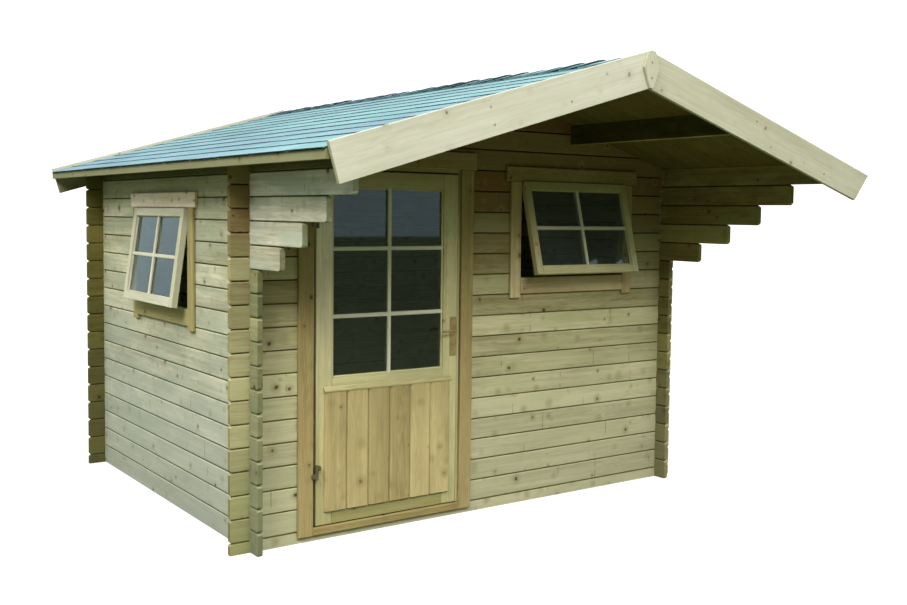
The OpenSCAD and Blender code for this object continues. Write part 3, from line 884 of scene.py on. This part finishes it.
def dish(radius, depth=0.0015, sides=14):
    """A countersunk screw head with a cross slot, facing +Z, its face at z = 0."""
    bm = bmesh.new()
    rim = [bm.verts.new((radius * c, radius * s, 0.0004)) for c, s in round_the_circle(sides)]
    inner = [bm.verts.new((v.co.x * 0.86, v.co.y * 0.86, 0.0007)) for v in rim]
    well = [bm.verts.new((v.co.x * 0.35, v.co.y * 0.35, 0.0002 - depth * (i % 2)))
            for i, v in enumerate(rim)]
    base = [bm.verts.new((v.co.x, v.co.y, -0.003)) for v in rim]
    middle = bm.verts.new((0, 0, -depth))
    for i in range(sides):
        j = (i + 1) % sides
        bm.faces.new((base[i], base[j], rim[j], rim[i]))
        bm.faces.new((rim[i], rim[j], inner[j], inner[i]))
        bm.faces.new((inner[i], inner[j], well[j], well[i]))
        bm.faces.new((well[i], well[j], middle))
    bm.faces.new(base[::-1])
    return bm


def screws(name, places, body, radius, slot="hinge_steel"):
    """Screw heads in one piece; places are (point, outward direction)."""
    piece = Piece(name)
    for point, out in places:
        turn = out.to_track_quat("Z", "Y").to_matrix().to_4x4()
        piece.add(dish(radius), (X, Y), place=Matrix.Translation(point) @ turn)
    return piece.build(slot=slot, body=body)


door_leaf()
door_boards()
bars = glazing_bars("door_glazing_bars", pane_low, pane_high, (0.322, 0.677), 0.021)
bars.build(slot="joinery", body="door", material=BAR_PINE)
finish_node("door_glass")
dress("door_frame", UP_X, 0.002, dim=0.1)
dress("door_threshold", ALONG_X, 0.004, segments=3, dim=0.3)
dress("door_side_trims", UP_X, 0.003, tones=[0.35, 0.45], dim=porch_shade)
dress("door_top_trim", ALONG_X, 0.005, segments=3, dim=porch_shade)

# ---------- windows ----------


def pane_frame(node, right):
    """A pane's own frame from its mesh: the matrix out of it, the one into it, then the pane's
    low and high corners in it."""
    mesh = NODES[node].data
    widest = max(mesh.polygons, key=lambda p: (round(p.area, 7), -p.index))
    normal = widest.normal.copy()
    outward = right.cross(Z)
    if normal.dot(outward) < 0:
        normal.negate()
    up = normal.cross(right)
    if up.z < 0:
        up.negate()
    turn = Matrix((right, -normal, up)).transposed()
    back = turn.transposed()
    return (turn.to_4x4(), back) + extent([back @ v.co for v in mesh.vertices])


def window(prefix, right, grain, upright, shade, sash_pine=None, trim_pine=None):
    """A top-hung sash of butted members with crossed bars, and its rounded trims."""
    turn, back, low, high = pane_frame(prefix + "_window_glass", right)
    sash = NODES[prefix + "_window_sash"].data.vertices
    sash_low, sash_high = extent([back @ v.co for v in sash])
    y0, y1 = sash_low.y, sash_high.y
    piece = Piece(prefix + "_window_sash_joinery")
    for x0, x1 in ((sash_low.x, low.x), (high.x, sash_high.x)):
        stile = block((x0, y0, sash_low.z), (x1, y1, sash_high.z), 0.003)
        piece.add(stile, UP_X, place=turn)
    for z0, z1 in ((sash_low.z, low.z), (high.z, sash_high.z)):
        rail = block((low.x + PLAY, y0, z0), (high.x - PLAY, y1, z1), 0.003)
        piece.add(rail, ALONG_X, place=turn)
    beads(piece, low, high, ((low.y - 0.008, low.y), (high.y, y1 - 0.002)), 0.005, 0.002, turn)
    piece.build(prefix + "_window_sash", material=sash_pine)
    bars = glazing_bars(prefix + "_window_glazing_bars", low, high, (0.5,), 0.02)
    bars.verts = [turn @ v for v in bars.verts]
    bars.build(slot="joinery", body="cabin", material=BAR_PINE)
    dress(prefix + "_window_frame", grain, 0.002)
    look = {"bevel": 0.006, "segments": 3, "dim": shade, "material": trim_pine}
    dress(prefix + "_window_side_trims", upright, **look)
    dress(prefix + "_window_cross_trims", grain, **look)


window("front", X, ALONG_X, UP_X, window_trim_shade)
window("side", -Y, ALONG_Y, UP_Y, side_trim_shade, BAR_PINE, PALE_TRIM)
finish_node("front_window_glass", FILMED_GLASS)
finish_node("side_window_glass")

# ---------- floor ----------


def floor_boards():
    """Twenty boards from front to rear."""
    piece = Piece("floor_boards_timber")
    low, high, size = size_of("floor_boards")
    count = 20
    pitch = size.x / count
    for i in range(count):
        x = low.x + i * pitch
        board = block((x + PLAY, low.y, low.z), (x + pitch - PLAY, high.y, high.z), 0.0015, 1)
        piece.add(board, (Y, X))
    piece.build("floor_boards")


floor_boards()
dress("floor_joists", ALONG_Y, 0.002)

# ---------- ironmongery ----------

PIVOT = next(Vector(joint["pos_m"]) for joint in RECORD["behaviour"]["joints"]
             if joint["name"] == "lever_pivot")


def tube(points, radii, sides=18):
    """A closed round bar along a path, with a radius at each point."""
    bm = bmesh.new()
    rings = []
    across = None
    for i, (p, r) in enumerate(zip(points, radii)):
        ahead = (points[min(i + 1, len(points) - 1)] - points[max(i - 1, 0)]).normalized()
        across = across or ahead.orthogonal()
        across = (across - ahead * across.dot(ahead)).normalized()
        other = ahead.cross(across)
        rings.append([bm.verts.new(p + (across * c + other * s) * r)
                      for c, s in round_the_circle(sides)])
    for a, b in zip(rings, rings[1:]):
        for i in range(sides):
            j = (i + 1) % sides
            bm.faces.new((a[i], a[j], b[j], b[i]))
    bm.faces.new(rings[0][::-1])
    bm.faces.new(rings[-1])
    bmesh.ops.recalc_face_normals(bm, faces=bm.faces)
    return bm


def lever_path(arm_y, face_y, tip_x):
    """The middle line and the radii of a lever: out of its plate, round a bend, along its arm."""
    bend, neck, arm, steps = 0.012, 0.006, 0.0049, 22
    away = 1 if arm_y > face_y else -1
    straight = abs(arm_y - face_y) - bend
    path, radii = [], []
    for t, radius in ((0, 0.0079), (0.12, 0.0079), (0.2, 0.0062), (0.6, 0.0058), (1.0, neck)):
        path.append(Vector((PIVOT.x, face_y + away * (PLAY + 0.9 * t * straight), PIVOT.z)))
        radii.append(radius)
    for k in range(1, 7):
        t = k / 6 * math.pi / 2
        path.append(Vector((PIVOT.x - bend * (1 - math.cos(t)),
                            arm_y - away * bend * (1 - math.sin(t)), PIVOT.z)))
        radii.append(neck)
    length = PIVOT.x - bend - tip_x
    for k in range(1, steps + 1):
        t = k / steps
        wave = 0.0016 * math.sin(t * 2 * math.pi)
        path.append(Vector((PIVOT.x - bend - t * length, arm_y - away * 0.001 * t,
                            PIVOT.z + wave)))
        swell = arm + 0.0013 * math.sin(math.pi * climb(t, 0.3, 0.7) * 0.75)
        tip = max(0.0, (t - 0.93) / 0.07)
        radii.append(swell * math.sqrt(max(0.02, 1 - tip * tip)))
    return path, radii


def lever_handles():
    """An outer and an inner lever, each with a fuller, rounded tip."""
    piece = Piece("door_lever_handles")
    low, high, _ = size_of("door_lever")
    plate_low, plate_high, _ = size_of("door_lock_plates")
    half_arm = 0.0065
    for arm_y, face_y in ((low.y + half_arm, plate_low.y), (high.y - half_arm, plate_high.y)):
        piece.add(tube(*lever_path(arm_y, face_y, low.x)), ALONG_X)
    piece.build("door_lever", smooth=True)


def lock_plates():
    """Rounded long plates with a cylinder boss and two screws, outside and inside."""
    piece = Piece("door_lock_plate_set")
    low, high, _ = size_of("door_lock_plates")
    middle = (low.x + high.x) / 2
    thick, r, boss_height = 0.003, 0.006, 0.066
    key_low, key_high = Vector((-0.0009, -0.0035, -0.006)), Vector((0.0009, 0.0035, 0.004))
    heads = []
    for y, way in ((low.y, -1), (high.y, 1)):
        outline = []
        for cx, cz, start in ((high.x - r, high.z - r, 0), (low.x + r, high.z - r, 90),
                              (low.x + r, low.z + r, 180), (high.x - r, low.z + r, 270)):
            for k in range(5):
                t = math.radians(start + 22.5 * k)
                outline.append(Vector((cx + r * math.cos(t), y - way * thick,
                                       cz + r * math.sin(t))))
        plate = prism(outline, Y * (way * thick))
        soften(plate, 0.0008, 2, 40)
        piece.add(plate, UP_X)
        boss = Vector((middle, y, low.z + boss_height))
        rings = [boss + Y * (way * d) for d in (-0.001, 0.0018, 0.0026, 0.003)]
        piece.add(tube(rings, (0.0088, 0.0088, 0.0082, 0.0055)), UP_X)
        piece.add(block(boss + key_low, boss + key_high, 0.0003, 1), UP_X)
        heads += [((middle, y, z), Y * way) for z in (low.z + 0.012, high.z - 0.012)]
    piece.build("door_lock_plates")
    screws("lock_plate_screws", heads, "door", 0.0042, "brass")


# Screws of the bargeboards: slope, distance down it and distance out of it from the apex
BARGE_SCREWS = ((-1, 0.52, -0.118), (-1, 0.95, -0.045), (-1, 0.95, -0.118),
                (1, 0.8, -0.045), (1, 1.4, -0.118))


def bargeboard_screws():
    """Screws of the bargeboards and of the plates over their apex, front and rear."""
    heads = []
    plate_low, plate_high, _ = size_of("apex_plates")
    front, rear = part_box("front_left_bargeboard")[0].y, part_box("rear_left_bargeboard")[1].y
    for y, way in ((front, -1), (rear, 1)):
        for side, down, out in BARGE_SCREWS:
            p = BARGE_APEX + DOWN[side] * down + OUT[side] * out
            heads.append(((p.x, y, p.z), Y * way))
    for y, way in ((plate_low.y, -1), (plate_high.y, 1)):
        for z in (plate_low.z + 0.045, plate_high.z - 0.055):
            heads.append(((RIDGE_X, y, z), Y * way))
    screws("bargeboard_screws", heads, "cabin", 0.0052)


def side_window_plugs():
    """Two round plugs in the top trim of the side window."""
    low, high, size = size_of("side_window_cross_trims")
    heads = [((low.x, low.y + share * size.y, high.z - 0.045), -X) for share in (0.32, 0.77)]
    screws("side_window_plugs", heads, "cabin", 0.009, "trim_wood")


lever_handles()
lock_plates()
bargeboard_screws()
side_window_plugs()
finish_node("door_leaf_hinges")
finish_node("door_frame_hinges")

# ---------- stage ----------

# Brightness of the sky near the horizon and overhead: as it lights the cabin, then as glass
# mirrors it
SKY_LOW, SKY_HIGH = 0.12, 2.1
MIRROR_LOW, MIRROR_HIGH = 0.85, 1.25
# Brightness of the floor and the backdrop as the camera sees them
FLOOR_GLOW, BACKDROP = 0.72, 1.3
FLOOR_REACH = 60
WHITE = (1, 1, 1, 1)


def put(name, data):
    obj = bpy.data.objects.new(name, data)
    bpy.context.scene.collection.objects.link(obj)
    return obj


def pale_floor():
    """A floor that looks pale but throws little light back."""
    mesh = bpy.data.meshes.new("floor")
    r = FLOOR_REACH
    mesh.from_pydata([(-r, -r, 0), (r, -r, 0), (r, r, 0), (-r, r, 0)], [], [(0, 1, 2, 3)])
    g = new_material("pale_floor")
    seen = g.node("AddShader", {
        0: g.node("Emission", {"Color": WHITE, "Strength": FLOOR_GLOW}).outputs[0],
        1: g.node("BsdfDiffuse", {"Color": (0.35, 0.35, 0.35, 1)}).outputs[0]})
    lighting = g.node("BsdfDiffuse", {"Color": srgb(100, 108, 84)})
    both = g.node("MixShader", {0: g.in_sight(), 1: lighting.outputs[0], 2: seen.outputs[0]})
    g.node("OutputMaterial", {"Surface": both.outputs[0]})
    mesh.materials.append(g.owner)
    ground = put("floor", mesh)


def studio_sky():
    """A soft sky, brighter overhead, that looks plain and pale."""
    world = bpy.data.worlds.new("studio")
    bpy.context.scene.world = world
    g = Graph(world)
    up = g.part(g.node("TexCoord").outputs["Generated"], 2)
    glow = g.node("MapRange", {"Value": up, "From Min": 0.12, "From Max": 0.62,
                               "To Min": SKY_LOW, "To Max": SKY_HIGH},
                  interpolation_type="SMOOTHSTEP")
    lit = g.node("Background", {"Color": (0.95, 0.98, 1.0, 1), "Strength": glow.outputs[0]})
    mirror = g.node("MapRange", {"Value": up, "From Max": 0.3,
                                 "To Min": MIRROR_LOW, "To Max": MIRROR_HIGH})
    shiny = g.node("Background", {"Color": (0.74, 0.94, 1.0, 1), "Strength": mirror.outputs[0]})
    plain = g.node("Background", {"Color": WHITE, "Strength": BACKDROP})
    glossy = g.node("LightPath").outputs["Is Glossy Ray"]
    inner = g.node("MixShader", {0: glossy, 1: lit.outputs[0], 2: shiny.outputs[0]})
    both = g.node("MixShader", {0: g.in_sight(), 1: inner.outputs[0], 2: plain.outputs[0]})
    g.node("OutputWorld", {"Surface": both.outputs[0]})


def lamp(name, place, target, power, colour):
    """A soft round lamp, 4 m across."""
    data = bpy.data.lights.new(name, "AREA")
    data.shape, data.size, data.energy, data.color = "DISK", 4.0, power, colour
    obj = put(name, data)
    obj.location = place
    aim = Vector(target) - Vector(place)
    obj.rotation_euler = aim.to_track_quat("-Z", "Y").to_euler()


def camera():
    """The camera solved from the log joints, which sees the cabin from its left front corner.
    Lengths of the picture are in its pixels."""
    width, height = 907, 605
    focal, centre_x, centre_y = 1057.6, 466.4, 282.0
    place = (-3.5235, -5.293, 1.640)
    yaw, pitch, roll = (math.radians(a) for a in (35.95, -3.66, 0.73))
    level = Vector((math.cos(yaw), -math.sin(yaw), 0))
    forward = Vector((math.sin(yaw) * math.cos(pitch), math.cos(yaw) * math.cos(pitch),
                      math.sin(pitch)))
    rise = level.cross(forward)
    right = math.cos(roll) * level + math.sin(roll) * rise
    up = -math.sin(roll) * level + math.cos(roll) * rise
    data = bpy.data.cameras.new("camera")
    data.sensor_width = 36
    data.lens = focal * data.sensor_width / width
    data.shift_x = (width / 2 - centre_x) / width
    data.shift_y = (centre_y - height / 2) / width
    obj = put("camera", data)
    turn = Matrix((right, up, -forward)).transposed().to_4x4()
    obj.matrix_world = Matrix.Translation(place) @ turn
    bpy.context.scene.camera = obj


pale_floor()
studio_sky()
lamp("key", (-8.0, -4.0, 8.0), (-1.0, 0, 1.0), 920, (1.0, 0.985, 0.95))
lamp("front", (-1.0, -9.0, 7.5), (0, -0.6, 0.8), 700, (1.0, 0.99, 0.96))
camera()
bpy.context.scene.view_settings.view_transform = "Standard"
